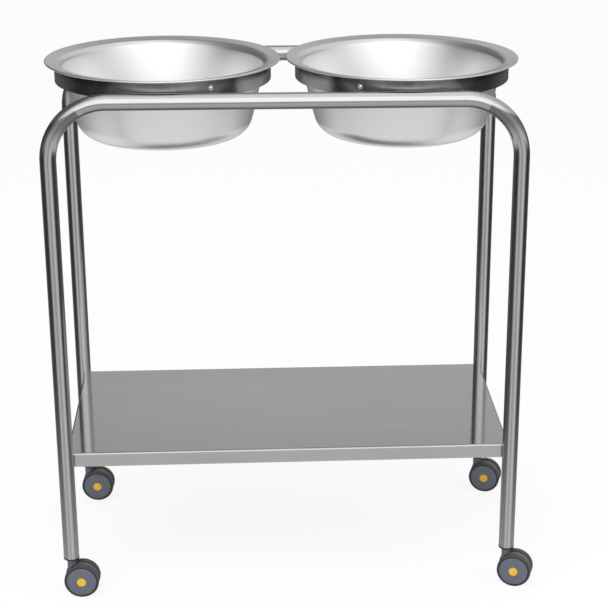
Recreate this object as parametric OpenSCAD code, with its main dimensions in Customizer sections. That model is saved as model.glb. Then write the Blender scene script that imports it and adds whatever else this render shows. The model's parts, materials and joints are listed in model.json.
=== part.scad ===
// Double basin stand: two lift-out basins in ring holders on a wheeled frame of bent tube, with a shelf.
// Millimetres. Z is up, X runs along the stand, the front is -Y and the floor is z = 0.

/* [Tube frame] */
// Distance between the left and right leg centres
leg_spacing = 722; // [640:1:900]
// Distance between the front and rear frame centres
frame_spacing = 369; // [320:1:400]
// Height of the top rails' centre line above the floor
rail_height = 826; // [760:1:950]
// Outside diameter of the bent tube
tube_d = 25.4; // [22:0.1:30]
// Wall thickness of the bent tube
tube_wall = 1.65; // [1.2:0.05:2.5]
// Bend radius at the tube's centre line
bend_r = 90; // [60:1:120]
// Gap that the welds bridge where a piece meets a tube
weld_gap = 0.1; // [0.05:0.05:0.3]

/* [Basin rings] */
// Height of the ring band
ring_h = 32; // [24:0.5:50]
// Thickness of the ring band
ring_t = 3.2; // [2:0.1:5]
// How far the band hangs below the rails' centre line
ring_drop = 2; // [0:0.5:6]
// Length of the weld fillet at each place where a ring meets a rail
ring_weld_l = 52; // [30:1:70]
// Radius of the weld fillets on the rings
ring_weld_r = 3; // [2:0.1:4]
// Head diameter of the rivet that closes the band
rivet_d = 8.5; // [6:0.5:12]
// Head height of the rivet
rivet_head_h = 2.4; // [1.5:0.1:4]
// Shank diameter of the rivet
rivet_shank_d = 4; // [3:0.1:5]
// Diameter of the rivet's set head inside the band
rivet_set_d = 6.8; // [5.2:0.1:8]
// Height of the rivet's set head
rivet_set_h = 1; // [0.5:0.1:2]
// Angle of the rivet from the front of the ring towards the stand's middle
rivet_angle = 27; // [15:1:60]

/* [Basins] */
// Depth from the underside of the rim to the outside of the bottom
basin_depth = 123; // [90:1:160]
// Sheet thickness of the basin
basin_t = 1; // [0.6:0.1:1.5]
// Lean of the wall from upright, in degrees
wall_lean = 13; // [4:0.5:18]
// Outside radius of the corner at the bottom
corner_r = 35; // [15:1:50]
// Radius under the rim where the wall turns outwards
shoulder_r = 4; // [2:0.5:5]
// Gap between the ring band and the top of the wall
bowl_gap = 5.4; // [5:0.1:20]
// How far the rim stands out past the ring
rim_overhang = 14.8; // [8:0.1:20]
// Radius of the bead rolled at the rim's edge
rim_bead_r = 1; // [0.8:0.1:2]
// Gap between the two rims
rim_gap = 9; // [4:1:30]

/* [Shelf] */
// Height of the shelf's top face above the floor
shelf_height = 252; // [160:1:480]
// Height of the turned-down lips
lip_h = 24.4; // [18:0.1:40]
// Sheet thickness of the shelf
shelf_t = 1.2; // [0.8:0.1:2]
// Outside radius of the sheet's folds
fold_r = 3; // [2.5:0.5:5]
// Width of the hem turned in under each lip
hem_w = 9; // [5:1:20]
// How far the lips stand in from the leg centres
lip_inset = 2; // [0:0.5:6]
// Radius of the weld fillets between the lips and the legs
shelf_weld_r = 1.8; // [1:0.1:3]

/* [Casters] */
// Wheel diameter over the tyre
wheel_d = 57; // [50:1:65]
// Width of one wheel
wheel_w = 10; // [9:0.1:14]
// Thickness of the hood between the two wheels
hood_t = 11; // [11:0.1:14]
// Running gap between the hood and each wheel
wheel_gap = 0.4; // [0.3:0.1:1]
// Distance from the swivel axis back to the axle
trail = 16; // [12:0.5:20]
// How far the hood's edge stays inside the tyre's tread
hood_inset = 1.5; // [0.2:0.1:4]
// Distance from the top of the tyres up to the end plug
plug_clearance = 8.4; // [6:0.1:16]
// Diameter of the neck around the swivel stem
neck_d = 14.8; // [13:0.1:16]
// Gap between the neck and the end plug, in which the caster swivels
swivel_gap = 0.5; // [0.3:0.1:2]
// Swivel of the front left caster at rest, in degrees
swivel_fl = -2; // [-30:1:30]
// Swivel of the front right caster at rest, in degrees
swivel_fr = -18; // [-30:1:30]
// Swivel of the rear left caster at rest, in degrees
swivel_rl = -3; // [-30:1:30]
// Swivel of the rear right caster at rest, in degrees
swivel_rr = -17; // [-30:1:30]

/* [Wheels] */
// Depth of the tyre's rubber at the tread
tyre_depth = 6; // [4:0.1:8]
// Radius of the tread's shoulders
tread_r = 2.2; // [1:0.1:3]
// How far the cover laps over the tyre's side
cover_lap = 1.6; // [0.8:0.1:3]
// Thickness of the cover's lap over the tyre
cover_t = 1.8; // [1:0.1:2.5]
// Height of the cover's dome
dome_h = 1.5; // [0.5:0.1:3]
// Thickness of the wheel's rim under the tyre
rim_wall = 2.5; // [1.5:0.1:4]
// Diameter of the round cap in the middle of the cover
cap_d = 14.8; // [10:0.1:18]
// Depth of the cap's seat in the cover
cap_recess = 1.2; // [0.8:0.1:2]
// How far the cap stands out of the cover
cap_proud = 0.5; // [0.2:0.1:1]
// Diameter of the hub around the axle
hub_d = 15; // [13:0.1:18]
// Diameter of the axle
axle_d = 6; // [5:0.1:8]

/* [Stem and plug] */
// Thickness of the plug's flange under the tube end
flange_t = 2.6; // [1.5:0.1:5]
// How far the flange stands out past the tube
flange_lip = 0.3; // [0:0.1:1]
// Length of the plug inside the tube
plug_l = 34; // [24:1:50]
// Diameter of the stem inside the plug
stem_d = 11; // [9:0.1:12]
// Diameter of the stem's spigot inside the neck
spigot_d = 8; // [6:0.1:8]
// Length of the stem's spigot
spigot_l = 26; // [18:1:30]
// Radial clearance of the stem and the axle where they turn
run_gap = 0.05; // [0.02:0.01:0.1]
// Radial clearance where a piece is pressed in
press_gap = 0.02; // [0.01:0.01:0.05]

/* [Hidden] */
$fn = 96;
// Height of a ring weld's bead up the rail's side, in rail radii
ring_weld_rise = 0.74;
// A cut that clears a face by this much
over = 1;

tube_r = tube_d / 2;
leg_x = leg_spacing / 2;
leg_y = frame_spacing / 2;
ring_r = leg_y - tube_r - weld_gap;
ring_in_r = ring_r - ring_t;
ring_bottom = rail_height - ring_drop;
ring_top = ring_bottom + ring_h;
rim_r = ring_r + rim_overhang;
basin_x = rim_r + rim_gap / 2;

// The wall's line, from the rim's underside at z = 0 down to the bottom corner
wall_top_r = ring_in_r - bowl_gap;
function wall_r(z) = wall_top_r + z * tan(wall_lean);
corner_z = corner_r - basin_depth;
corner_x = wall_r(corner_z) - corner_r / cos(wall_lean);
shoulder_x = wall_r(-shoulder_r) + shoulder_r / cos(wall_lean);

shelf_l = leg_spacing - 2 * lip_inset;
shelf_w = frame_spacing - 2 * lip_inset;

wheel_r = wheel_d / 2;
hood_r = wheel_r - hood_inset;
wheel_in = hood_t / 2 + wheel_gap;
track_half = wheel_in + wheel_w + dome_h;
plug_z = wheel_d + plug_clearance;
tube_end = plug_z + flange_t;
neck_top = plug_z - swivel_gap;
// Height at which the hood's lower edge is cut, under the axle
hood_cut = wheel_r - axle_d;
seat_r = wheel_r - tyre_depth;
cover_r = seat_r + cover_lap;
dome_r = (cover_r * cover_r + dome_h * dome_h) / (2 * dome_h);
// Thickness of the cover's disc between hub and rim
disc_t = 2 * cover_t;
// Material left between the axle's end and the cap
axle_cover = 1.5;
axle_reach = wheel_in + wheel_w + dome_h - cap_recess - axle_cover;

// Each leg: name, side along X, side along Y and the swivel of its caster
LEGS = [["fl", -1, -1, swivel_fl], ["fr", 1, -1, swivel_fr], ["rl", -1, 1, swivel_rl], ["rr", 1, 1, swivel_rr]];
CASTER_PIECES = ["plug", "stem", "hood", "axle", "wheel_left", "wheel_right",
                 "tyre_left", "tyre_right", "cap_left", "cap_right"];

// How far a caster reaches from its stem along +X, and along Y towards side
function reach_x(swivel) = (trail + wheel_r) * cos(swivel) + track_half * abs(sin(swivel));
function reach_y(swivel, side) =
    side * trail * sin(swivel) + wheel_r * abs(sin(swivel)) + track_half * cos(swivel);
right_edge = leg_x + max(reach_x(swivel_fr), reach_x(swivel_rr));
left_edge = max(leg_x + tube_r, basin_x + rim_r);
front_edge = leg_y + max(tube_r, reach_y(swivel_fl, -1), reach_y(swivel_fr, -1));
rear_edge = leg_y + max(tube_r, reach_y(swivel_rl, 1), reach_y(swivel_rr, 1));
// The origin is the middle of the footprint, which the casters pull to one side
footprint = [(right_edge - left_edge) / 2, (rear_edge - front_edge) / 2, 0];

module placed() { translate(-footprint) children(); }

module at_leg(leg) {
    placed() translate([leg[1] * leg_x, leg[2] * leg_y, 0]) rotate([0, 0, leg[3]]) children();
}

module rod(r, l) { rotate([0, 90, 0]) cylinder(r = r, h = l, center = true); }

// One bent frame without its bore: two legs, two bends and the rail between them
module frame_bar(r, y, bottom) {
    straight = leg_spacing - 2 * bend_r;
    translate([0, y, rail_height]) rod(r, straight);
    for (side = [-1, 1]) {
        translate([side * leg_x, y, bottom]) cylinder(r = r, h = rail_height - bend_r - bottom);
        translate([side * (leg_x - bend_r), y, rail_height - bend_r]) rotate([90, 0, 0])
            rotate([0, 0, side > 0 ? 0 : 90]) rotate_extrude(angle = 90) translate([bend_r, 0]) circle(r = r);
    }
}

module frame_tube(y) {
    color("gainsboro") placed() difference() {
        frame_bar(tube_r, y, tube_end);
        frame_bar(tube_r - tube_wall, y, tube_end - over);
    }
}

module front_frame_tube() { frame_tube(-leg_y); }
module rear_frame_tube() { frame_tube(leg_y); }

// Points away from the ring's middle, at the rivet
module at_rivet(side) {
    placed() translate([side * basin_x, 0, ring_bottom + ring_h / 2])
        rotate([90, 0, -side * rivet_angle]) children();
}

module ring(side) {
    color("dimgray") difference() {
        placed() translate([side * basin_x, 0, ring_bottom]) difference() {
            cylinder(r = ring_r, h = ring_h, $fn = 180);
            translate([0, 0, -over]) cylinder(r = ring_in_r, h = ring_h + 2 * over, $fn = 180);
        }
        at_rivet(side) cylinder(d = rivet_shank_d + 2 * press_gap, h = ring_r + over);
    }
}

module ring_left() { ring(-1); }
module ring_right() { ring(1); }

// A domed head outside the band, the shank through it and the set head inside
module ring_rivet(side) {
    head_r = rivet_d / 2;
    ball_r = (head_r * head_r + rivet_head_h * rivet_head_h) / (2 * rivet_head_h);
    // The set head is flat, so it clears the curved band by the band's rise over the head's width
    seat_in = ring_in_r - head_r * head_r / (2 * ring_in_r);
    color("silver") at_rivet(side) union() {
        translate([0, 0, seat_in - rivet_set_h]) cylinder(d = rivet_set_d, h = rivet_set_h);
        translate([0, 0, seat_in - rivet_set_h])
            cylinder(d = rivet_shank_d, h = ring_r - seat_in + 2 * rivet_set_h);
        translate([0, 0, ring_r]) rotate_extrude() intersection() {
            square([head_r, rivet_head_h]);
            translate([0, rivet_head_h - ball_r]) circle(r = ball_r);
        }
    }
}

module ring_rivet_left() { ring_rivet(-1); }
module ring_rivet_right() { ring_rivet(1); }

// A fillet in the crevice above each place where a ring touches a rail. Its bead sinks a little into
// both of them, and what sinks in is cut away.
module ring_welds() {
    out = ring_weld_r / 5;
    up = tube_r * ring_weld_rise;
    color("lightgray") placed() difference() {
        for (side = [-1, 1], end = [-1, 1])
            translate([side * basin_x, end * (ring_r + weld_gap + out), rail_height + up]) {
                rod(ring_weld_r, ring_weld_l - 2 * ring_weld_r);
                for (tip = [-1, 1]) translate([tip * (ring_weld_l / 2 - ring_weld_r), 0, 0]) sphere(r = ring_weld_r);
            }
        for (side = [-1, 1]) {
            translate([side * basin_x, 0, ring_bottom]) cylinder(r = ring_r, h = ring_h, $fn = 180);
            translate([0, side * leg_y, rail_height]) rod(tube_r, leg_spacing);
        }
    }
}

// Half section of a folded lip: the outer face is x = 0 and the top face is z = 0
module lip_section() {
    for (end = [[0, 0], [1, -lip_h]]) translate([-fold_r, end[1]]) mirror([0, end[0]]) translate([0, -fold_r])
        difference() {
            intersection() {
                circle(r = fold_r);
                square(fold_r);
            }
            circle(r = fold_r - shelf_t);
        }
    translate([-shelf_t, fold_r - lip_h]) square([shelf_t, lip_h - 2 * fold_r]);
    translate([-fold_r - hem_w, -lip_h]) square([hem_w, shelf_t]);
}

module lip(l, out, turn) {
    rotate([0, 0, turn]) translate([out, l / 2, 0]) rotate([90, 0, 0]) linear_extrude(l) lip_section();
}

// A pan of folded sheet with its corners notched around the four legs
module shelf() {
    color("silver") placed() translate([0, 0, shelf_height]) difference() {
        union() {
            translate([fold_r - shelf_l / 2, fold_r - shelf_w / 2, -shelf_t])
                cube([shelf_l - 2 * fold_r, shelf_w - 2 * fold_r, shelf_t]);
            for (turn = [0, 180]) {
                lip(shelf_w, shelf_l / 2, turn);
                lip(shelf_l, shelf_w / 2, turn + 90);
            }
        }
        for (leg = LEGS) translate([leg[1] * leg_x, leg[2] * leg_y, -lip_h - over])
            cylinder(r = tube_r + weld_gap, h = lip_h + 2 * over);
    }
}

// Upright fillets where each lip ends at a leg
module shelf_welds() {
    meet = sqrt(pow(tube_r, 2) - pow(lip_inset, 2));
    bead_h = lip_h - 2 * fold_r;
    color("gray") placed() translate([0, 0, shelf_height - lip_h / 2]) difference() {
        for (leg = LEGS, corner = [[leg_x - meet, leg_y - lip_inset], [leg_x - lip_inset, leg_y - meet]])
            translate([leg[1] * corner[0], leg[2] * corner[1], 0])
                cylinder(r = shelf_weld_r, h = bead_h, center = true);
        cube([shelf_l, shelf_w, lip_h], center = true);
        for (leg = LEGS) translate([leg[1] * leg_x, leg[2] * leg_y, 0])
            cylinder(r = tube_r, h = lip_h, center = true);
    }
}

// Half section of the basin filled up to z = top, with its skin drawn in by inset
module bowl_section(inset, top) {
    wall = inset / cos(wall_lean);
    c = [corner_x, corner_z];
    touch = c + (corner_r - inset) * [cos(wall_lean), -sin(wall_lean)];
    polygon([[0, inset - basin_depth], [corner_x, inset - basin_depth], c, touch, [wall_r(0) - wall, 0],
             [wall_r(0) - wall, top], [0, top]]);
    intersection() {
        translate(c) circle(r = corner_r - inset);
        translate([0, -basin_depth]) square([wall_r(0), corner_r]);
    }
    // The shoulder that carries the wall into the rim
    difference() {
        translate([0, -shoulder_r]) square([shoulder_x, shoulder_r + top]);
        translate([shoulder_x, -shoulder_r]) circle(r = shoulder_r + inset);
        translate([0, -shoulder_r - over]) square([wall_r(-shoulder_r) - over, over]);
    }
}

module basin(side) {
    color("whitesmoke") placed() translate([side * basin_x, 0, ring_top]) rotate_extrude($fn = 180) {
        difference() {
            bowl_section(0, basin_t);
            bowl_section(basin_t, basin_t + over);
        }
        translate([shoulder_x, 0]) square([rim_r - rim_bead_r - shoulder_x, basin_t]);
        translate([rim_r - rim_bead_r, basin_t - rim_bead_r]) circle(r = rim_bead_r);
    }
}

module basin_left() { basin(-1); }
module basin_right() { basin(1); }

// The bush that fills the tube's end, with a flange against the tube
module caster_plug(leg) {
    color("black") at_leg(leg) difference() {
        union() {
            translate([0, 0, plug_z]) cylinder(r = tube_r + flange_lip, h = flange_t);
            translate([0, 0, tube_end]) cylinder(r = tube_r - tube_wall - weld_gap, h = plug_l);
        }
        translate([0, 0, plug_z - over]) cylinder(r = stem_d / 2 + run_gap, h = flange_t + plug_l + 2 * over);
    }
}

module caster_stem(leg) {
    groove = stem_d / 8;
    color("silver") at_leg(leg) difference() {
        union() {
            translate([0, 0, neck_top - spigot_l]) cylinder(d = spigot_d, h = spigot_l);
            translate([0, 0, neck_top]) cylinder(d = stem_d, h = tube_end + plug_l - neck_top);
        }
        // The groove that a grip ring snaps into
        translate([0, 0, tube_end + plug_l - 4 * groove]) difference() {
            cylinder(d = stem_d + over, h = groove);
            cylinder(d = stem_d - 2 * groove, h = groove);
        }
    }
}

// Puts its children on the axle line, with +Z pointing out of the wheel on that side
module on_axle(side) { translate([trail, 0, wheel_r]) rotate([side * 90, 0, 0]) children(); }

// One moulding: the guard between the wheels, the boss around the axle and the neck
module caster_hood(leg) {
    bevel = hood_t / 5;
    flat = hood_t / 2 - bevel;
    color("slategray") at_leg(leg) difference() {
        union() {
            intersection() {
                on_axle(1) rotate_extrude() polygon([[0, -hood_t / 2], [hood_r - bevel, -hood_t / 2], [hood_r, -flat],
                                                     [hood_r, flat], [hood_r - bevel, hood_t / 2], [0, hood_t / 2]]);
                translate([trail - wheel_d, -wheel_d / 2, hood_cut]) cube([2 * wheel_d, wheel_d, wheel_d]);
            }
            on_axle(1) cylinder(d = hub_d, h = hood_t, center = true);
            translate([0, 0, wheel_r]) cylinder(d = neck_d, h = neck_top - wheel_r);
        }
        // Room for the wheels beside the neck
        for (side = [-1, 1]) on_axle(side) translate([0, 0, hood_t / 2])
            cylinder(r = wheel_r + 2 * wheel_gap, h = neck_d);
        translate([0, 0, neck_top - spigot_l - press_gap]) cylinder(d = spigot_d + 2 * press_gap, h = spigot_l + over);
        on_axle(1) cylinder(d = axle_d + 2 * press_gap, h = hood_t + 2 * over, center = true);
    }
}

module caster_axle(leg) {
    color("silver") at_leg(leg) on_axle(1) cylinder(d = axle_d, h = 2 * axle_reach, center = true);
}

module wheel(leg, side) {
    color("slategray") at_leg(leg) on_axle(side) translate([0, 0, wheel_in]) rotate_extrude() difference() {
        union() {
            square([hub_d / 2, wheel_w]);
            translate([0, wheel_w - disc_t]) square([seat_r, disc_t]);
            translate([seat_r - rim_wall, 0]) square([rim_wall, wheel_w]);
            translate([0, wheel_w - cover_t]) square([cover_r, cover_t]);
            translate([0, wheel_w]) intersection() {
                square([cover_r, dome_h]);
                translate([0, dome_h - dome_r]) circle(r = dome_r, $fn = 720);
            }
        }
        translate([0, -over]) square([axle_d / 2 + run_gap, axle_reach - wheel_in + over + run_gap]);
        translate([0, wheel_w + dome_h - cap_recess]) square([cap_d / 2 + press_gap, cap_recess + over]);
    }
}

// The rubber sits on the wheel's seat, under the lap of its cover
module tyre(leg, side) {
    side_gap = wheel_gap / 2;
    crown_h = wheel_w - 2 * side_gap;
    color("darkslategray") at_leg(leg) on_axle(side) translate([0, 0, wheel_in]) rotate_extrude() difference() {
        union() {
            translate([seat_r + press_gap, side_gap]) square([tyre_depth - press_gap - tread_r, crown_h]);
            translate([wheel_r - tread_r, side_gap + tread_r]) square([tread_r, crown_h - 2 * tread_r]);
            for (t = [side_gap + tread_r, side_gap + crown_h - tread_r])
                translate([wheel_r - tread_r, t]) circle(r = tread_r);
        }
        translate([0, wheel_w - cover_t - press_gap]) square([cover_r + press_gap, cover_t + over]);
    }
}

module cap(leg, side) {
    chamfer = cap_proud / 2;
    base = wheel_in + wheel_w + dome_h - cap_recess;
    color("gold") at_leg(leg) on_axle(side) translate([0, 0, base]) rotate_extrude()
        polygon([[0, 0], [cap_d / 2, 0], [cap_d / 2, cap_recess + cap_proud - chamfer],
                 [cap_d / 2 - chamfer, cap_recess + cap_proud], [0, cap_recess + cap_proud]]);
}

front_frame_tube();
rear_frame_tube();
ring_left();
ring_right();
ring_rivet_left();
ring_rivet_right();
ring_welds();
shelf();
shelf_welds();
basin_left();
basin_right();
for (leg = LEGS) {
    caster_plug(leg);
    caster_stem(leg);
    caster_hood(leg);
    caster_axle(leg);
    wheel(leg, 1);
    wheel(leg, -1);
    tyre(leg, 1);
    tyre(leg, -1);
    cap(leg, 1);
    cap(leg, -1);
}
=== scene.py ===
import json
import math

import bmesh
import bpy
from mathutils import Matrix, Vector


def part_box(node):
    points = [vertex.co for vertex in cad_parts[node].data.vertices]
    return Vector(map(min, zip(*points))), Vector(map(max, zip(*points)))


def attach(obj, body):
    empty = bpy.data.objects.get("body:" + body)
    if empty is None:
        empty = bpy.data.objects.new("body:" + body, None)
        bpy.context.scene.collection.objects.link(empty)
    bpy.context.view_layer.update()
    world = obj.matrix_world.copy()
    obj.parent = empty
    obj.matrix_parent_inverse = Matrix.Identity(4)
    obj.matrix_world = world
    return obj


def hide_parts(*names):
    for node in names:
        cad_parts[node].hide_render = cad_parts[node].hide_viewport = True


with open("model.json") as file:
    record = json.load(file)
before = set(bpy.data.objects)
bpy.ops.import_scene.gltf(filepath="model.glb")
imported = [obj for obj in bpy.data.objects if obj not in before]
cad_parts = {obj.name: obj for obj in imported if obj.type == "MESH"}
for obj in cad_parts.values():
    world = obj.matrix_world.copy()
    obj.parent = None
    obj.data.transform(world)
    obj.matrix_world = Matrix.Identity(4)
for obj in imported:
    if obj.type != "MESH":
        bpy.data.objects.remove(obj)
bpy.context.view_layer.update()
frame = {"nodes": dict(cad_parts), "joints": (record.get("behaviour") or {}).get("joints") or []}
print("loaded", len(frame["nodes"]), "parts")


# Node wiring: an expression on wires adds the Math nodes for it

class Wire:
    def __init__(self, graph, node, socket):
        self.graph, self.node, self.socket = graph, node, socket

    def out(self, name):
        return Wire(self.graph, self.node, self.node.outputs[name])

    def maths(self, operation, *values):
        return self.graph.add("ShaderNodeMath", {"operation": operation}, dict(enumerate(values)))

    def __add__(self, other):
        return self.maths("ADD", self, other)

    def __radd__(self, other):
        return self.maths("ADD", other, self)

    def __sub__(self, other):
        return self.maths("SUBTRACT", self, other)

    def __rsub__(self, other):
        return self.maths("SUBTRACT", other, self)

    def __mul__(self, other):
        return self.maths("MULTIPLY", self, other)

    def __rmul__(self, other):
        return self.maths("MULTIPLY", other, self)

    def __abs__(self):
        return self.maths("ABSOLUTE", self)

    def rise(self, start, end):  # 0 before start, 1 after end, smooth between them
        if start > end:
            return 1 - self.rise(end, start)
        values = {"Value": self, "From Min": start, "From Max": end}
        return self.graph.add("ShaderNodeMapRange", {"interpolation_type": "SMOOTHSTEP"}, values)

    def band(self, start, end, soft):  # 1 between start and end, 0 outside
        return self.rise(start - soft, start + soft) * self.rise(end + soft, end - soft)


class Graph:
    def __init__(self, tree):
        self.tree = tree
        tree.nodes.clear()

    def add(self, kind, settings=None, values=None, out=0):
        node = self.tree.nodes.new(kind)
        for name, value in (settings or {}).items():
            setattr(node, name, value)
        for name, value in (values or {}).items():
            if isinstance(value, Wire):
                self.tree.links.new(value.socket, node.inputs[name])
            else:
                node.inputs[name].default_value = value
        return Wire(self, node, node.outputs[out] if len(node.outputs) else None)

    def place(self):  # where a point lies in the row frame, in metres
        return self.add("ShaderNodeTexCoord", out="Object")

    def axes(self, place):  # its X, Y and Z outputs are the numbers of a place
        return self.add("ShaderNodeSeparateXYZ", {}, {0: place})

    def mapped(self, place, centre=(0, 0, 0), scale=(1, 1, 1)):
        moved = self.add("ShaderNodeVectorMath", {"operation": "SUBTRACT"}, {0: place, 1: centre})
        return self.add("ShaderNodeMapping", {}, {"Vector": moved, "Scale": scale})

    def noise(self, place, scale=1.0, detail=2.0):
        return self.add("ShaderNodeTexNoise", {}, {"Vector": place, "Scale": scale, "Detail": detail})

    def tint(self, mask, first, second):  # a colour between two colours
        return self.add("ShaderNodeMix", {"data_type": "RGBA"}, {0: mask, 6: first, 7: second}, out=2)

    def greys(self, mask, level, spread, warmth=0.0):  # a little darker to a little lighter than a grey
        return self.tint(mask, grey(level - spread, warmth), grey(level + spread, warmth))

    def bump(self, height, distance):
        return self.add("ShaderNodeBump", {}, {"Height": height, "Distance": distance, "Strength": 1.0})


def makeMaterial(name, dress):  # dress(graph) returns what goes on the shader's sockets
    material = bpy.data.materials.new(name)
    material.use_nodes = True
    graph = Graph(material.node_tree)
    shader = graph.add("ShaderNodeBsdfPrincipled", {}, dress(graph))
    graph.add("ShaderNodeOutputMaterial", {}, {"Surface": shader})
    return material


def grey(level, warmth=0.0):  # above 0 the warmth leans it to red, and below 0 to blue
    return (level * (1 + warmth), level, level * (1 - warmth), 1)


# Finishes

# Some of these darken the tube's colour: past each bend's seam partly as painted shade, and under the rail as
# painted shade
tubePolish = {"colour": 0.60, "haze": 0.04, "roughness": 0.19, "streaks": 0.08, "grain": 0.00002,
              "leftSeam": 61, "rightSeam": 65, "seamDullAndShade": 0.90, "dullShadeTone": 0.28, "rougher": 0.2,
              "underRailShade": 0.28, "underSide": (-0.001, -0.004), "railBottomShade": 0.45,
              "bottomSide": (-0.0075, -0.0105)}


def dressTube(graph):  # polish lines run along the tube, up the legs and across the rails
    place = graph.place()
    axes = graph.axes(place)
    x, height = axes.out("X"), axes.out("Z")
    out = abs(x - railMiddle) - railHalf  # distance outwards from the bend's centre, and up from it
    up = height - (railHeight - bentTube["bendRadius"])
    onRail = height.rise(railHeight - 0.05, railHeight - 0.02)
    legLines = graph.noise(graph.mapped(place, scale=(900, 900, 5)), detail=3)
    railLines = graph.noise(graph.mapped(place, scale=(5, 900, 900)), detail=3)
    lines = legLines + (railLines - legLines) * onRail
    haze = graph.noise(place, scale=14, detail=3)

    # The polisher stopped at a seam on each bend, so the tube is duller past it on the bend's inner side; the
    # darker colour there is partly painted shade
    left, right = math.radians(tubePolish["leftSeam"]), math.radians(tubePolish["rightSeam"])
    seam = left + (x - railMiddle).rise(-0.01, 0.01) * (right - left)
    cosine, sine = seam.maths("COSINE", seam), seam.maths("SINE", seam)
    past = (up * cosine - out * sine).rise(0.0002, -0.0002) * out.rise(-0.05, 0)
    below = (up * sine + out * cosine).rise(bentTube["bendRadius"] + 0.004, bentTube["bendRadius"])
    dullAndShaded = past * below * up.rise(0.02, 0.06) * tubePolish["seamDullAndShade"]

    # Painted shade along the rail's underside, from seam to seam, darkest at the bottom
    bent = out.maths("MAXIMUM", out, 0.0)
    away = up.maths("SQRT", up * up + bent * bent) - bentTube["bendRadius"]
    underRailShade = away.rise(*tubePolish["underSide"]) * tubePolish["underRailShade"]
    railBottomShade = away.rise(*tubePolish["bottomSide"]) * tubePolish["railBottomShade"]
    light = graph.greys(haze * 0.6 + lines * 0.4, tubePolish["colour"], tubePolish["haze"])
    # painted shade: the rail's underside is tinted towards black
    light = graph.tint((underRailShade + railBottomShade) * (1 - past) * onRail, light, (0, 0, 0, 1))
    streaks = (lines - 0.5) * tubePolish["streaks"]
    return {
        "Base Color": graph.tint(dullAndShaded, light, grey(tubePolish["colour"] * tubePolish["dullShadeTone"])),
        "Metallic": 1.0,
        "Roughness": tubePolish["roughness"] + streaks + dullAndShaded * tubePolish["rougher"],
        "Normal": graph.bump(lines, tubePolish["grain"]),
    }


# The ring's steel is kept darker than the tubes', partly as painted shade for the dark reflections it shows
ringFinish = {"colour": 0.32, "darker": 0.3, "lighter": 1.6, "roughness": 0.22, "uneven": 0.14,
              "grain": 0.00003}


def dressRing(graph):  # mill finish, rolled along the band, with painted shade: darker just under the basin's rim and lighter lower down
    look = ringFinish
    place = graph.place()
    height = graph.axes(place).out("Z")
    lines = graph.noise(graph.mapped(place, scale=(30, 30, 1400)), detail=3)
    blotches = graph.noise(graph.mapped(place, scale=(45, 45, 20)), detail=4)
    # painted shade: darker towards the rim, mixed with random blotches
    paler = height.rise(ringTop - 0.008, ringTop - 0.018) * 0.45 + blotches * 0.55
    dark, light = grey(look["colour"] * look["darker"], 0.03), grey(look["colour"] * look["lighter"], 0.02)
    return {
        "Base Color": graph.tint(paler, dark, light),
        "Metallic": 1.0,
        "Roughness": look["roughness"] + (blotches - 0.5) * look["uneven"],
        "Normal": graph.bump(lines, look["grain"]),
    }


basinFinish = {"colour": 0.89, "clouds": 0.03, "warmth": 0.004, "roughness": 0.33, "uneven": 0.06,
               "spun": 0.55, "grooves": 0.00002, "grooveScale": 1500}


def dressBasin(centre):
    def dress(graph):  # satin lines that run round the bowl, as the spinning and scouring leave them
        look = basinFinish
        place = graph.mapped(graph.place(), centre=centre)
        flat = graph.add("ShaderNodeVectorMath", {"operation": "MULTIPLY"}, {0: place, 1: (1, 1, 0)})
        out = graph.add("ShaderNodeVectorMath", {"operation": "LENGTH"}, {0: flat}, out="Value")
        height = graph.axes(place).out("Z")
        along = graph.add("ShaderNodeCombineXYZ", {}, {0: out - height, 1: height * 0.1, 2: 0.0})
        lines = graph.noise(along, scale=look["grooveScale"])
        clouds = graph.noise(place, scale=22, detail=3)
        uneven = (clouds - 0.5) * look["uneven"] + (lines - 0.5) * look["uneven"]
        return {
            "Base Color": graph.greys(clouds, look["colour"], look["clouds"], look["warmth"]),
            "Metallic": 1.0,
            "Roughness": look["roughness"] + uneven,
            "Anisotropic": look["spun"],
            "Normal": graph.bump(lines, look["grooves"]),
        }
    return dress


shelfFinish = {"colour": 0.47, "clouds": 0.04, "roughness": 0.07, "lipColour": 0.59, "lipClouds": 0.06,
               "lipRoughness": 0.38, "warmth": 0.01, "streaks": 0.04, "uneven": 0.03, "grain": 0.000005}


def dressShelf(graph):  # brushed along the stand, the folded edges duller, and lighter as painted light
    look = shelfFinish
    place = graph.place()
    lines = graph.noise(graph.mapped(place, scale=(6, 1100, 1100)), detail=3)
    clouds = graph.noise(graph.mapped(place, scale=(5, 14, 14)), detail=3)
    lip = graph.axes(place).out("Z").rise(shelfTop - 0.0002, shelfTop - 0.0012)
    tone = clouds * 0.7 + lines * 0.3
    top = graph.greys(tone, look["colour"], look["clouds"], look["warmth"])
    # painted light: the folded lip gets a lighter grey than the top of the same sheet
    folded = graph.greys(tone, look["lipColour"], look["lipClouds"], look["warmth"])
    dulled = look["roughness"] + lip * (look["lipRoughness"] - look["roughness"])
    return {
        "Base Color": graph.tint(lip, top, folded),
        "Metallic": 1.0,
        "Roughness": dulled + (lines - 0.5) * look["streaks"] + (clouds - 0.5) * look["uneven"],
        "Normal": graph.bump(lines, look["grain"]),
    }


# The weld greys are dark: partly the weld's own tint, partly painted shade for the dark line where the ring
# meets the rail
weldFinish = {"dark": 0.176, "light": 0.242, "roughness": 0.28, "uneven": 0.1, "ripple": 0.0012,
              "wander": 0.0006, "depth": 0.00008}


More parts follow.
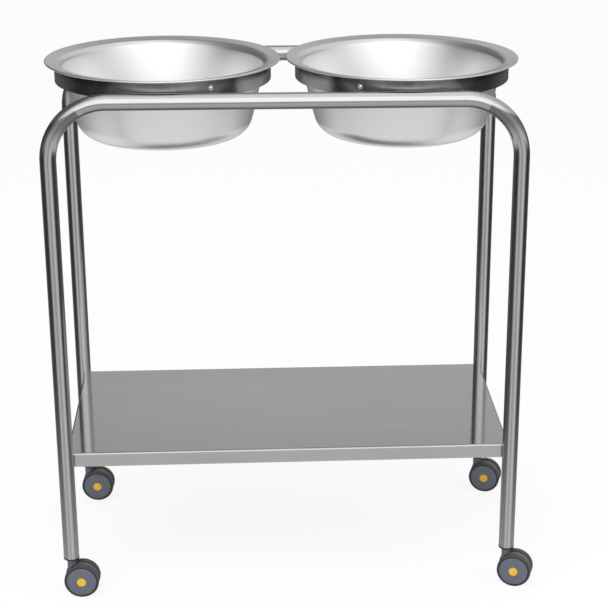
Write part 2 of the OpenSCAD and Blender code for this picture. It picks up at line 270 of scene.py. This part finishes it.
def dressWeld(graph):  # ripples that a brushed weld keeps
    place = graph.place()
    warp = graph.noise(place, scale=400)
    axes = graph.axes(place)
    along = axes.out("X") + axes.out("Z") + warp * weldFinish["wander"]
    turns = along * (2 * math.pi / weldFinish["ripple"])
    ripples = turns.maths("SINE", turns)
    return {
        "Base Color": graph.tint(warp, grey(weldFinish["dark"], 0.02), grey(weldFinish["light"])),
        "Metallic": 1.0,
        "Roughness": weldFinish["roughness"] + warp * weldFinish["uneven"],
        "Normal": graph.bump(ripples, weldFinish["depth"]),
    }


brightFinish = {"colour": 0.73, "clouds": 0.05, "roughness": 0.12, "uneven": 0.1, "grain": 0.00003}


def dressBright(graph):  # turned steel: rivets, stems and axles
    cloud = graph.noise(graph.place(), scale=300)
    return {
        "Base Color": graph.greys(cloud, brightFinish["colour"], brightFinish["clouds"]),
        "Metallic": 1.0,
        "Roughness": brightFinish["roughness"] + cloud * brightFinish["uneven"],
        "Normal": graph.bump(cloud, brightFinish["grain"]),
    }


plasticFinish = {"colour": (0.113, 0.122, 0.158), "flow": 0.08, "roughness": 0.48, "uneven": 0.12,
                 "grain": 0.00004}


def dressGreyPlastic(graph):  # a fine moulded texture
    place = graph.place()
    grain = graph.noise(place, scale=2600)
    flow = graph.noise(place, scale=60, detail=3)
    darker = [colour * (1 - plasticFinish["flow"]) for colour in plasticFinish["colour"]] + [1]
    lighter = [colour * (1 + plasticFinish["flow"]) for colour in plasticFinish["colour"]] + [1]
    return {
        "Base Color": graph.tint(flow, darker, lighter),
        "Roughness": plasticFinish["roughness"] + (grain - 0.5) * plasticFinish["uneven"],
        "Normal": graph.bump(grain, plasticFinish["grain"]),
    }


tyreFinish = {"rubber": (0.016, 0.022, 0.021, 1), "paler": (0.026, 0.032, 0.031, 1),
              "roughness": 0.5, "uneven": 0.2, "grain": 0.00006}


def dressTyre(graph):  # soft dark rubber
    place = graph.place()
    grain = graph.noise(place, scale=1800, detail=3)
    dust = graph.noise(place, scale=90, detail=4)
    return {
        "Base Color": graph.tint(dust, tyreFinish["rubber"], tyreFinish["paler"]),
        "Roughness": tyreFinish["roughness"] + grain * tyreFinish["uneven"],
        "Normal": graph.bump(grain, tyreFinish["grain"]),
    }


treadFinish = {"rubber": (0.050, 0.046, 0.043, 1), "dust": (0.105, 0.098, 0.090, 1),
               "roughness": 0.72, "uneven": 0.15, "grain": 0.00008}


def dressTread(graph):  # the same rubber with the dust of the floor on it
    place = graph.place()
    grain = graph.noise(place, scale=1400, detail=3)
    dust = graph.noise(place, scale=160, detail=4)
    return {
        "Base Color": graph.tint(dust, treadFinish["rubber"], treadFinish["dust"]),
        "Roughness": treadFinish["roughness"] + grain * treadFinish["uneven"],
        "Normal": graph.bump(grain, treadFinish["grain"]),
    }


capFinish = {"deep": (0.72, 0.42, 0.025, 1), "pale": (0.80, 0.50, 0.035, 1),
             "roughness": 0.32, "uneven": 0.1, "grain": 0.00003}


def dressCap(graph):  # smooth yellow plastic
    mottle = graph.noise(graph.place(), scale=500)
    return {
        "Base Color": graph.tint(mottle, capFinish["deep"], capFinish["pale"]),
        "Roughness": capFinish["roughness"] + mottle * capFinish["uneven"],
        "Normal": graph.bump(mottle, capFinish["grain"]),
    }


plugFinish = {"deep": (0.006, 0.005, 0.008, 1), "pale": (0.012, 0.010, 0.016, 1),
              "roughness": 0.42, "uneven": 0.12, "grain": 0.00004}


def dressPlug(graph):  # black plastic
    grain = graph.noise(graph.place(), scale=1500)
    return {
        "Base Color": graph.tint(grain, plugFinish["deep"], plugFinish["pale"]),
        "Roughness": plugFinish["roughness"] + grain * plugFinish["uneven"],
        "Normal": graph.bump(grain, plugFinish["grain"]),
    }


# Places that finishes and pieces share, from the frame

tubeLow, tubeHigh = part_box("front_frame_tube")
tubeRadius = (tubeHigh.y - tubeLow.y) / 2
railHeight = tubeHigh.z - tubeRadius
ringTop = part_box("ring_left")[1].z
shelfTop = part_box("shelf")[1].z
bentTube = {"bendRadius": 0.090, "wall": 0.00165, "around": 64, "alongBend": 32, "alongStraight": 8}
railMiddle = (tubeLow.x + tubeHigh.x) / 2
railHalf = (tubeHigh.x - tubeLow.x) / 2 - tubeRadius - bentTube["bendRadius"]


# Modelling helpers

def begin(name):  # names the primitive just added and opens it for editing
    piece = bpy.context.object
    piece.name = piece.data.name = name
    bpy.ops.object.transform_apply(location=True, rotation=True, scale=True)
    bpy.ops.object.mode_set(mode="EDIT")
    bpy.ops.mesh.select_mode(type="VERT")
    return piece


def pick(piece, kind, wanted):  # selects the vertices, edges or faces for which wanted(it) is true
    bpy.ops.mesh.select_mode(type=kind)
    bpy.ops.mesh.select_all(action="DESELECT")
    mesh = bmesh.from_edit_mesh(piece.data)
    for part in {"VERT": mesh.verts, "EDGE": mesh.edges, "FACE": mesh.faces}[kind]:
        part.select_set(bool(wanted(part)))
    bmesh.update_edit_mesh(piece.data)


def extrudeBy(x=0.0, z=0.0):  # draws what is selected along X and Z
    bpy.ops.mesh.extrude_region_move(TRANSFORM_OT_translate={"value": (x, 0, z)})


def close(piece):  # leaves edit mode with doubles merged and faces outwards
    bpy.ops.mesh.select_all(action="SELECT")
    bpy.ops.mesh.remove_doubles(threshold=0.000001)
    bpy.ops.mesh.normals_make_consistent(inside=False)
    bpy.ops.object.mode_set(mode="OBJECT")
    return piece


def modify(piece, kind, **settings):  # adds a modifier and applies it
    modifier = piece.modifiers.new(kind.lower(), kind)
    for name, value in settings.items():
        setattr(modifier, name, value)
    alone(piece)
    bpy.ops.object.modifier_apply(modifier=modifier.name)


def bevelEdges(piece, width, steps, angle):  # rounds each edge that is sharper than the angle
    modify(piece, "BEVEL", width=width, segments=steps, limit_method="ANGLE", angle_limit=math.radians(angle))


def combine(piece, operation):  # joins the primitive just added to a piece, or cuts it away
    tool = bpy.context.object
    modify(piece, "BOOLEAN", object=tool, operation=operation, solver="EXACT")
    bpy.data.objects.remove(tool)


def alone(piece):  # selects this piece and nothing else
    bpy.ops.object.select_all(action="DESELECT")
    piece.select_set(True)
    bpy.context.view_layer.objects.active = piece


def finish(piece, materials, body, replaced, angle=40):  # edges up to the angle look smooth
    alone(piece)
    bpy.ops.object.shade_smooth_by_angle(angle=math.radians(angle))
    modify(piece, "WEIGHTED_NORMAL", keep_sharp=True)
    for material in materials:
        piece.data.materials.append(material)
    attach(piece, body)
    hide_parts(*replaced)
    bpy.ops.object.select_all(action="DESELECT")
    return piece


def lathe(name, profile, steps):  # turns points (radius, height) round the Z axis
    bpy.ops.object.select_all(action="DESELECT")
    bpy.ops.mesh.primitive_plane_add(size=0.001)
    piece = begin(name)
    bpy.ops.mesh.select_all(action="SELECT")
    bpy.ops.mesh.merge(type="CENTER")
    bpy.ops.transform.translate(value=(profile[0][0], 0, profile[0][1]))
    for before, after in zip(profile, profile[1:]):
        extrudeBy(x=after[0] - before[0], z=after[1] - before[1])
    bpy.ops.mesh.select_all(action="SELECT")
    bpy.ops.mesh.spin(steps=steps, angle=2 * math.pi, center=(0, 0, 0), axis=(0, 0, 1))
    return close(piece)


def between(first, second, share):  # a point that lies a share of the way from one to the other
    return tuple(a + (b - a) * share for a, b in zip(first, second))


def arc(centre, radius, start, end, count):  # points (radius, height) on an arc, angles in degrees
    angles = [math.radians(start + (end - start) * i / count) for i in range(count + 1)]
    return [(centre[0] + radius * math.cos(a), centre[1] + radius * math.sin(a)) for a in angles]


def settle(piece, matrix):  # puts a finished shape in its place, with the place in its mesh
    piece.data.transform(matrix)
    piece.data.update()
    return piece


def twin(piece, name, matrix):  # a copy of a shape with a mesh of its own, in its own place
    copy = piece.copy()
    copy.data = piece.data.copy()
    copy.name = copy.data.name = name
    bpy.context.scene.collection.objects.link(copy)
    return settle(copy, matrix)


# Frame tubes: an upside-down U each

def makeTube(name, node):
    low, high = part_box(node)
    radius = (high.y - low.y) / 2
    y = (high.y + low.y) / 2
    bend = bentTube["bendRadius"]
    left, right, rail = low.x + radius, high.x - radius, high.z - radius
    rise, run = rail - bend - low.z, right - left - 2 * bend
    parts = bentTube["alongStraight"]
    quarter = {"steps": bentTube["alongBend"], "angle": -math.pi / 2, "axis": (0, 1, 0)}
    bpy.ops.object.select_all(action="DESELECT")
    bpy.ops.mesh.primitive_circle_add(vertices=bentTube["around"], radius=radius, location=(left, y, low.z))
    piece = begin(name)
    bpy.ops.mesh.select_all(action="SELECT")
    for part in range(parts):
        extrudeBy(z=rise / parts)
    bpy.ops.mesh.spin(center=(left + bend, y, rail - bend), **quarter)
    for part in range(parts):
        extrudeBy(x=run / parts)
    bpy.ops.mesh.spin(center=(right - bend, y, rail - bend), **quarter)
    for part in range(parts):
        extrudeBy(z=-rise / parts)
    close(piece)
    modify(piece, "SOLIDIFY", thickness=bentTube["wall"], offset=-1)
    return finish(piece, [tubeSteel], "frame", [node])


tubeSteel = makeMaterial("tubeSteel", dressTube)
makeTube("frontTube", "front_frame_tube")
makeTube("rearTube", "rear_frame_tube")
print("tubes bent")


# Ring bands

ringBand = {"thickness": 0.0032, "edge": 0.0005, "edgeSteps": 3, "around": 256, "underRim": 0.003}


def makeRing(name, node):
    low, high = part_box(node)
    high.z -= ringBand["underRim"]  # the rim dips where it lies on the ring
    bpy.ops.object.select_all(action="DESELECT")
    bpy.ops.mesh.primitive_cylinder_add(vertices=ringBand["around"], radius=(high.x - low.x) / 2,
                                        depth=high.z - low.z, end_fill_type="NOTHING",
                                        location=(low + high) / 2)
    piece = close(begin(name))
    modify(piece, "SOLIDIFY", thickness=ringBand["thickness"], offset=-1, use_even_offset=True)
    bevelEdges(piece, ringBand["edge"], ringBand["edgeSteps"], 60)
    return finish(piece, [ringSteel], "frame", [node])


ringSteel = makeMaterial("ringSteel", dressRing)
makeRing("leftRing", "ring_left")
makeRing("rightRing", "ring_right")
print("rings rolled")


# Basins: sheet turned to a rim that rises outwards, a leaning wall and a rounded corner

bowl = {"sheet": 0.001, "bead": 0.0015, "depth": 0.123, "wallTop": 0.1631, "lean": 13, "bow": 0.001,
        "corner": 0.035, "shoulder": 0.012, "rimRise": 10, "around": 256,
        "beadParts": 14, "shoulderParts": 16, "wallParts": 12, "cornerParts": 20}


def bowlSkin(inset, beadCentre):  # from the rim's bead to the middle of the bottom, the outside at inset 0
    lean, rise, radius = math.radians(bowl["lean"]), math.radians(bowl["rimRise"]), bowl["shoulder"]

    # The shoulder's centre lies so that the shoulder is tangent to the rim and to the wall
    rimLine = beadCentre[1] * math.cos(rise) - beadCentre[0] * math.sin(rise) + bowl["bead"] - bowl["sheet"]
    shoulderZ = (rimLine - radius + (bowl["wallTop"] + radius / math.cos(lean)) * math.sin(rise)) \
        / (math.cos(rise) - math.sin(rise) * math.tan(lean))
    shoulder = arc((wallRadius(shoulderZ) + radius / math.cos(lean), shoulderZ), radius + inset,
                   90 + bowl["rimRise"], 180 - bowl["lean"], bowl["shoulderParts"])
    beadEnd = (beadCentre[0] - bowl["bead"] * math.sin(rise),
               beadCentre[1] + (bowl["bead"] - bowl["sheet"] + inset) * math.cos(rise))
    rim = [between(beadEnd, shoulder[0], share) for share in (0.35, 0.7)]

    cornerZ = bowl["corner"] - bowl["depth"]
    corner = arc((wallRadius(cornerZ) - bowl["corner"] / math.cos(lean), cornerZ), bowl["corner"] - inset,
                 -bowl["lean"], -90, bowl["cornerParts"])
    wall = []  # bowed a little by the spinning
    for share in (part / bowl["wallParts"] for part in range(1, bowl["wallParts"])):
        out, up = between(shoulder[-1], corner[0], share)
        wall.append((out + bowl["bow"] * 4 * share * (1 - share), up))
    bottom = [(corner[-1][0] * share, corner[-1][1]) for share in (0.75, 0.5, 0.25, 0.05, 0)]
    return rim + shoulder + wall + corner + bottom


def wallRadius(up):  # how wide the leaning wall is at a height
    return bowl["wallTop"] + up * math.tan(math.radians(bowl["lean"]))


def makeBasin(name, node, body):
    low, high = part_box(node)
    beadCentre = ((high.x - low.x) / 2 - bowl["bead"], bowl["sheet"] - bowl["bead"])
    bead = arc(beadCentre, bowl["bead"], -175, 90 + bowl["rimRise"], bowl["beadParts"])
    profile = bowlSkin(0, beadCentre)[::-1] + bead + bowlSkin(bowl["sheet"], beadCentre)
    piece = lathe(name, profile, bowl["around"])
    centre = Vector(((low.x + high.x) / 2, (low.y + high.y) / 2, high.z - bowl["sheet"]))
    settle(piece, Matrix.Translation(centre))
    material = makeMaterial(name + "Steel", dressBasin(centre))
    return finish(piece, [material], body, [node])


makeBasin("leftBasin", "basin_left", "basin_left")
makeBasin("rightBasin", "basin_right", "basin_right")
print("basins spun")


# Shelf: one sheet with its edges folded down and hemmed, cut out round the legs

pan = {"sheet": 0.0012, "fold": 0.003, "foldSteps": 6, "hem": 0.009, "legGap": 0.0001, "cutter": 0.2}


def isFold(edge):  # a level edge between a lip and the top, or between a lip and its hem
    level = abs(edge.verts[0].co.z - edge.verts[1].co.z) < 0.00001
    return level and not edge.is_boundary and any(abs(face.normal.z) < 0.5 for face in edge.link_faces)


def makeShelf():
    low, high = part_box("shelf")
    size, middle = high - low, (low + high) / 2
    bpy.ops.object.select_all(action="DESELECT")
    bpy.ops.mesh.primitive_cube_add(size=1, location=middle, scale=size)
    piece = begin("shelfPan")
    pick(piece, "FACE", lambda face: face.normal.z < -0.9)
    bpy.ops.mesh.delete(type="ONLY_FACE")
    pick(piece, "EDGE", lambda edge: all(vertex.co.z < middle.z for vertex in edge.verts))
    bpy.ops.mesh.extrude_region_move()
    inner = (1 - 2 * pan["hem"] / size.x, 1 - 2 * pan["hem"] / size.y, 1)
    bpy.ops.transform.resize(value=inner, center_override=middle)
    pick(piece, "EDGE", isFold)
    bpy.ops.mesh.bevel(offset=pan["fold"], segments=pan["foldSteps"], affect="EDGES")
    close(piece)
    modify(piece, "SOLIDIFY", thickness=pan["sheet"], offset=-1, use_even_offset=True)
    cutLegs(piece)
    return finish(piece, [shelfSteel], "frame", ["shelf"], angle=30)


def cutLegs(piece):  # a round notch for each leg
    for node in ("front_frame_tube", "rear_frame_tube"):
        low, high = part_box(node)
        radius = (high.y - low.y) / 2
        for x in (low.x + radius, high.x - radius):
            bpy.ops.object.select_all(action="DESELECT")
            bpy.ops.mesh.primitive_cylinder_add(vertices=bentTube["around"], radius=radius + pan["legGap"],
                                                depth=pan["cutter"],
                                                location=(x, (low.y + high.y) / 2, shelfTop))
            combine(piece, "DIFFERENCE")


shelfSteel = makeMaterial("shelfSteel", dressShelf)
makeShelf()
print("shelf folded")


# Casters: each shape is made once round the Z axis, then copied onto its axle or under its leg

wheelSize = {"inner": 0.0059, "width": 0.010, "hub": 0.0075, "bore": 0.00305, "seat": 0.0225, "wall": 0.0025,
             "disc": 0.0036, "lap": 0.0018, "cover": 0.0241, "coverEdge": 0.0006, "dome": 0.0015,
             "capSeat": 0.00742, "capDepth": 0.0012, "seatEdge": 0.0003, "seatWall": 0.0005, "fit": 0.00002,
             "around": 96}


def domeHeight(radius):  # how high the cover's face lies at a radius
    ball = (wheelSize["cover"] ** 2 + wheelSize["dome"] ** 2) / (2 * wheelSize["dome"])
    return wheelSize["inner"] + wheelSize["width"] + wheelSize["dome"] - radius ** 2 / (2 * ball)


def makeWheelShape():  # open on its inner side, with a domed cover that has a seat for the cap
    size = wheelSize
    low, high = size["inner"], size["inner"] + size["width"]
    disc, lap, hollow = high - size["disc"], high - size["lap"], size["seat"] - size["wall"]
    inside = [(size["bore"], low), (size["hub"], low), (size["hub"], disc), (hollow, disc), (hollow, low)]
    tyreSeat = [(size["seat"], low), (size["seat"], lap), (size["cover"], lap)]
    corner = size["coverEdge"]
    edge = arc((size["cover"] - corner, high - corner), corner, 0, 80, 5)
    reaches = [size["cover"] * share for share in (0.95, 0.8, 0.65, 0.5, 0.38)]
    face = [(reach, domeHeight(reach)) for reach in reaches]
    seatFloor = high + size["dome"] - size["capDepth"]
    seatSide = size["capSeat"] + size["fit"]
    capSeat = [(size["capSeat"] + size["seatEdge"], domeHeight(size["capSeat"])),
               (seatSide, seatFloor + size["seatWall"]), (seatSide, seatFloor)]
    bore = [(size["bore"], seatFloor), (size["bore"], low)]
    return lathe("wheelShape", inside + tyreSeat + edge + face + capSeat + bore, size["around"])


tyreSize = {"radius": 0.0285, "sideGap": 0.0002, "shoulder": 0.0022, "crown": 0.00012, "innerEdge": 0.0004,
            "lapEdge": 0.0003, "treadShare": 0.5}


def makeTyreShape():  # laps over the wheel's seat, up to the cover
    size, wheel = tyreSize, wheelSize
    low = wheel["inner"] + size["sideGap"]
    high = wheel["inner"] + wheel["width"] - size["sideGap"]
    seat, cover = wheel["seat"] + wheel["fit"], wheel["cover"] + wheel["fit"]
    lap = high - wheel["lap"] + size["sideGap"] - wheel["fit"]
    bend = size["radius"] - size["shoulder"]
    inside = [(seat, low + size["innerEdge"]), (seat + size["innerEdge"], low)]
    first = arc((bend, low + size["shoulder"]), size["shoulder"], -90, 0, 6)[:-1]
    second = arc((bend, high - size["shoulder"]), size["shoulder"], 0, 90, 6)[1:]
    edge = size["radius"] - size["crown"]
    tread = [(edge, low + (high - low) * 0.25), (size["radius"], (low + high) / 2),
             (edge, low + (high - low) * 0.75)]
    outside = [(cover + size["lapEdge"], high), (cover, high - size["lapEdge"]), (cover, lap), (seat, lap)]
    profile = inside + first + tread + second + outside + inside[:1]
    piece = lathe("tyreShape", profile, wheel["around"])
    treadStart = size["radius"] - size["shoulder"] * size["treadShare"]
    for face in piece.data.polygons:  # the tread takes the second material
        face.material_index = int(face.center.xy.length > treadStart)
    return piece


capSize = {"proud": 0.0005, "round": 0.0003, "crown": 0.00005, "around": 64}


def makeCapShape():  # fills its seat in the cover
    size, wheel = capSize, wheelSize
    low = wheel["inner"] + wheel["width"] + wheel["dome"] - wheel["capDepth"]
    high, rim = low + wheel["capDepth"] + size["proud"], wheel["capSeat"]
    bend = high - size["crown"] - size["round"]
    edge = arc((rim - size["round"], bend), size["round"], 15, 80, 4)
    face = [(rim * 0.5, high - size["crown"] / 5), (0, high)]
    return lathe("capShape", [(0, low), (rim, low), (rim, bend)] + edge + face, size["around"])


hoodSize = {"half": 0.0055, "edge": 0.027, "round": 0.0022, "cut": 0.006, "boss": 0.0075, "neck": 0.0074,
            "neckTop": 0.0364, "trail": 0.016, "clear": 0.0293, "bevel": 0.0005, "around": 128}
cutter = {"block": 0.1, "disc": 0.01}  # what the hood's underside and the neck's sides are cut with


def makeHoodShape():  # axle along Z, up along Y, the swivel axis at x = -trail
    size, block, disc = hoodSize, cutter["block"], cutter["disc"]
    bend = size["edge"] - size["round"]
    low = arc((bend, -size["half"] + size["round"]), size["round"], -90, 0, 8)
    high = arc((bend, size["half"] - size["round"]), size["round"], 0, 90, 8)
    piece = lathe("hoodShape", [(0, -size["half"])] + low + high + [(0, size["half"])], size["around"])
    bpy.ops.mesh.primitive_cube_add(size=block, location=(0, -size["cut"] - block / 2, 0))
    combine(piece, "DIFFERENCE")
    bpy.ops.mesh.primitive_cylinder_add(vertices=64, radius=size["boss"], depth=2 * size["half"])
    combine(piece, "UNION")
    bpy.ops.mesh.primitive_cylinder_add(vertices=64, radius=size["neck"], depth=size["neckTop"],
                                        location=(-size["trail"], size["neckTop"] / 2, 0),
                                        rotation=(math.pi / 2, 0, 0))
    combine(piece, "UNION")
    for side in (-1, 1):  # the neck gives way to the wheels
        bpy.ops.mesh.primitive_cylinder_add(vertices=size["around"], radius=size["clear"], depth=disc,
                                            location=(0, 0, side * (size["half"] + disc / 2)))
        combine(piece, "DIFFERENCE")
    bevelEdges(piece, size["bevel"], 2, 50)
    return piece


plugSize = {"flange": 0.013, "thick": 0.0026, "round": 0.0008, "inside": 0.01095, "length": 0.034,
            "chamfer": 0.0008, "bore": 0.00555, "around": 64}


def makePlugShape():  # from the underside of the flange up into the tube
    size = plugSize
    top = size["thick"] + size["length"]
    flange = arc((size["flange"] - size["round"], size["round"]), size["round"], -90, 0, 5)
    flange += [(size["flange"], size["thick"]), (size["inside"], size["thick"])]
    end = [(size["inside"], top - size["chamfer"]), (size["inside"] - size["chamfer"], top)]
    bore = [(size["bore"], top), (size["bore"], 0)]
    return lathe("plugShape", bore[1:] + flange + end + bore, size["around"])


def onAxle(joint, side):  # local Z points out of the wheel, local Y up
    out, up = Vector(joint["axis"]) * side, Vector((0, 0, 1))
    turn = Matrix((up.cross(out), up, out)).transposed().to_4x4()
    return Matrix.Translation(joint["pos_m"]) @ turn


def makeCasters():
    shapes = {"wheel": makeWheelShape(), "tyre": makeTyreShape(), "cap": makeCapShape(),
              "hood": makeHoodShape(), "plug": makePlugShape()}
    looks = {"wheel": ([greyPlastic], "grey_plastic"), "tyre": ([tyreRubber, treadRubber], "tyre"),
             "cap": ([yellowCap], "yellow_plastic")}
    joints = {joint["name"]: joint for joint in frame["joints"]}
    for corner in ("fl", "fr", "rl", "rr"):
        name = "caster_" + corner
        for side, sign in (("left", 1), ("right", -1)):
            spin = joints[name + "_spin_" + side]
            for kind, (materials, slot) in looks.items():
                piece = twin(shapes[kind], kind + corner.title() + side.title(), onAxle(spin, sign))
                finish(piece, materials, spin["child"], [name + "_" + kind + "_" + side])
        hood = twin(shapes["hood"], "hood" + corner.title(), onAxle(joints[name + "_spin_left"], 1))
        finish(hood, [greyPlastic], name, [name + "_hood"], angle=30)
        foot = Matrix.Translation(joints[name + "_swivel"]["pos_m"])
        plug = twin(shapes["plug"], "plug" + corner.title(), foot)
        finish(plug, [blackPlug], "frame", [name + "_plug"])
    for shape in shapes.values():
        bpy.data.objects.remove(shape)


greyPlastic = makeMaterial("greyPlastic", dressGreyPlastic)
tyreRubber = makeMaterial("tyreRubber", dressTyre)
treadRubber = makeMaterial("treadRubber", dressTread)
yellowCap = makeMaterial("yellowCap", dressCap)
blackPlug = makeMaterial("blackPlug", dressPlug)
makeCasters()
print("casters fitted")


# Parts that keep their shape and get their finish here

weldSteel = makeMaterial("weldSteel", dressWeld)
brightSteel = makeMaterial("brightSteel", dressBright)
leftovers = {"_welds": weldSteel, "rivet": brightSteel, "_stem": brightSteel, "_axle": brightSteel}
for name, node in frame["nodes"].items():
    for part, material in leftovers.items():
        if part in name:
            node.data.materials.clear()
            node.data.materials.append(material)
            for face in node.data.polygons:
                face.material_index = 0
print("small parts dressed")


# Studio

# Focal length, centre and width are in the photo's pixels, and the angles are radians
view = {"focal": 1730.87, "centre": (355.14, 355.72), "width": 608, "sensor": 36,
        "position": (railMiddle - 0.0688, -2.7507, 1.401), "turn": 0.0678, "tilt": 0.3662, "roll": 0.0051}


def makeCamera():
    camera = bpy.data.objects.new("camera", bpy.data.cameras.new("camera"))
    bpy.context.scene.collection.objects.link(camera)
    bpy.context.scene.camera = camera
    camera.data.sensor_width = view["sensor"]
    camera.data.lens = view["sensor"] * view["focal"] / view["width"]
    camera.data.shift_x = -(view["centre"][0] - view["width"] / 2) / view["width"]
    camera.data.shift_y = (view["centre"][1] - view["width"] / 2) / view["width"]
    camera.data.clip_end = 100
    turn, tilt, roll = view["turn"], view["tilt"], view["roll"]
    forward = Vector((math.sin(turn) * math.cos(tilt), math.cos(turn) * math.cos(tilt), -math.sin(tilt)))
    level = Vector((math.cos(turn), -math.sin(turn), 0))
    upright = level.cross(forward)
    right = level * math.cos(roll) + upright * math.sin(roll)
    up = upright * math.cos(roll) - level * math.sin(roll)
    turned = Matrix((right, up, -forward)).transposed().to_4x4()
    camera.matrix_world = Matrix.Translation(view["position"]) @ turned


floorLook = {"size": 60, "paper": 0.95, "glow": 0.86}


def makeFloor():  # glows for the camera and keeps the stand's shadow
    bpy.ops.object.select_all(action="DESELECT")
    bpy.ops.mesh.primitive_plane_add(size=floorLook["size"])
    floor = bpy.context.object
    floor.name = "floor"
    material = bpy.data.materials.new("paleFloor")
    material.use_nodes = True
    graph = Graph(material.node_tree)
    paper = graph.add("ShaderNodeBsdfDiffuse", {}, {"Color": grey(floorLook["paper"])})
    white = graph.add("ShaderNodeEmission", {}, {"Color": (1, 1, 1, 1), "Strength": 1.0})
    seen = graph.add("ShaderNodeLightPath").out("Is Camera Ray")
    mixed = graph.add("ShaderNodeMixShader", {}, {0: seen * floorLook["glow"], 1: paper, 2: white})
    graph.add("ShaderNodeOutputMaterial", {}, {"Surface": mixed})
    floor.data.materials.append(material)
    floor.visible_glossy = False


# What polished metal shows: a window in front, grey walls, a dark belt under them and a pale floor
studio = {"ambient": 0.75, "dark": 0.03, "walls": 0.45, "leftShade": 0.35, "rightShade": 0.09,
          "rightGlow": 0.15, "backGlow": 0.17, "backShade": 0.32, "ceiling": 0.55, "window": 1.05,
          "leftPost": 0.60, "rightPost": 0.70, "between": 0.34, "behind": 0.11, "floor": 0.68,
          "floorGlow": 0.06, "floorShade": 0.35}
# Where they start and end and how softly, in degrees to the side, with 0 in front, or above the level
spots = {"back": (95, 130), "backMiddle": (150, 170), "leftWall": (-168, -62, 12), "rightWall": (85, 160, 12),
         "rightGlow": (5, 25), "backGlow": (17, 25, 3), "backShade": (32, 47, 5), "wallFoot": (-9, -1),
         "backFoot": (0, 17), "ceiling": (55, 80), "windowLeft": (-70, -5), "windowRight": (100, 10),
         "windowFoot": (-7, 3), "windowTop": (78, 45), "leftPost": (-43, -13, 12), "rightPost": (12, 50, 13),
         "between": (-14, 11, 12), "beltTop": (-3, -10), "ends": (55, 120, 12), "floorEdge": (-20, -37),
         "floorAtEnds": (-23, -31), "floorGlow": (-58, -42, 8), "floorShade": (-65, -82)}


def makeWorld():
    world = bpy.data.worlds.new("studio")
    bpy.context.scene.world = world
    world.use_nodes = True
    world.cycles.sampling_method = "NONE"
    graph = Graph(world.node_tree)
    path = graph.add("ShaderNodeLightPath")
    place = graph.add("ShaderNodeTexCoord", out="Generated")
    axes = graph.axes(place)
    x, y, z = axes.out("X"), axes.out("Y"), axes.out("Z")
    side = x.maths("ARCTAN2", x, y * -1) * (180 / math.pi)  # positive to the right
    height = z.maths("ARCSINE", z) * (180 / math.pi)
    back = abs(side).rise(*spots["back"])
    leftWall, rightWall = side.band(*spots["leftWall"]), side.band(*spots["rightWall"])
    lighter = height.rise(*spots["rightGlow"]) * (studio["rightShade"] + studio["rightGlow"])
    rightShade = rightWall * (studio["rightShade"] - lighter)
    walls = studio["walls"] - leftWall * studio["leftShade"] - rightShade
    backGlow = height.band(*spots["backGlow"]) * studio["backGlow"]
    backShade = height.band(*spots["backShade"]) * studio["backShade"]
    walls = walls + abs(side).rise(*spots["backMiddle"]) * (backGlow - backShade)
    walls = walls * (height.rise(*spots["wallFoot"]) * (1 - back) + height.rise(*spots["backFoot"]) * back)
    ceiling = height.rise(*spots["ceiling"]) * studio["ceiling"]
    window = side.rise(*spots["windowLeft"]) * side.rise(*spots["windowRight"])
    window = window * height.rise(*spots["windowFoot"]) * height.rise(*spots["windowTop"])
    leftPost = side.band(*spots["leftPost"]) * studio["leftPost"]
    rightPost = side.band(*spots["rightPost"]) * studio["rightPost"]
    middle = side.band(*spots["between"]) * studio["between"]
    ends = abs(side).band(*spots["ends"])
    floorAtEnds = height.rise(*spots["floorAtEnds"])
    onFloor = (height - back).rise(*spots["floorEdge"]) * (1 - ends) + floorAtEnds * ends
    floor = studio["floor"] + height.band(*spots["floorGlow"]) * studio["floorGlow"]
    floor = floor * (1 - height.rise(*spots["floorShade"]) * studio["floorShade"])
    belt = (leftPost + rightPost + middle + back * studio["behind"]) * height.rise(*spots["beltTop"])
    room = studio["dark"] + walls + ceiling + window * studio["window"]
    level = room + belt * (1 - onFloor) + onFloor * floor
    seen = path.out("Is Camera Ray")
    glossy = path.out("Is Glossy Ray")
    strength = seen + (1 - seen) * (glossy * level + (1 - glossy) * studio["ambient"])
    light = graph.tint(window * glossy, (1, 1, 0.99, 1), (0.97, 0.995, 1.02, 1))
    background = graph.add("ShaderNodeBackground", {}, {"Color": light, "Strength": strength})
    graph.add("ShaderNodeOutputWorld", {}, {"Surface": background})


lamps = {
    "softbox": {"position": (-1.2, -2.2, 3.2), "target": (0, 0, 0.4), "size": 2.4, "power": 60},
    "fill": {"position": (2.2, -1.5, 2.2), "target": (0, 0, 0.4), "size": 2.0, "power": 25},
}


def makeLamp(name, position, target, size, power):
    lamp = bpy.data.objects.new(name, bpy.data.lights.new(name, "AREA"))
    bpy.context.scene.collection.objects.link(lamp)
    lamp.data.size = size
    lamp.data.energy = power
    lamp.location = position
    lamp.rotation_euler = (Vector(target) - Vector(position)).to_track_quat("-Z", "Y").to_euler()
    lamp.visible_glossy = False


bpy.context.scene.view_settings.view_transform = "Standard"
makeCamera()
makeFloor()
makeWorld()
for lampName, lampValues in lamps.items():
    makeLamp(lampName, **lampValues)
print("studio set")
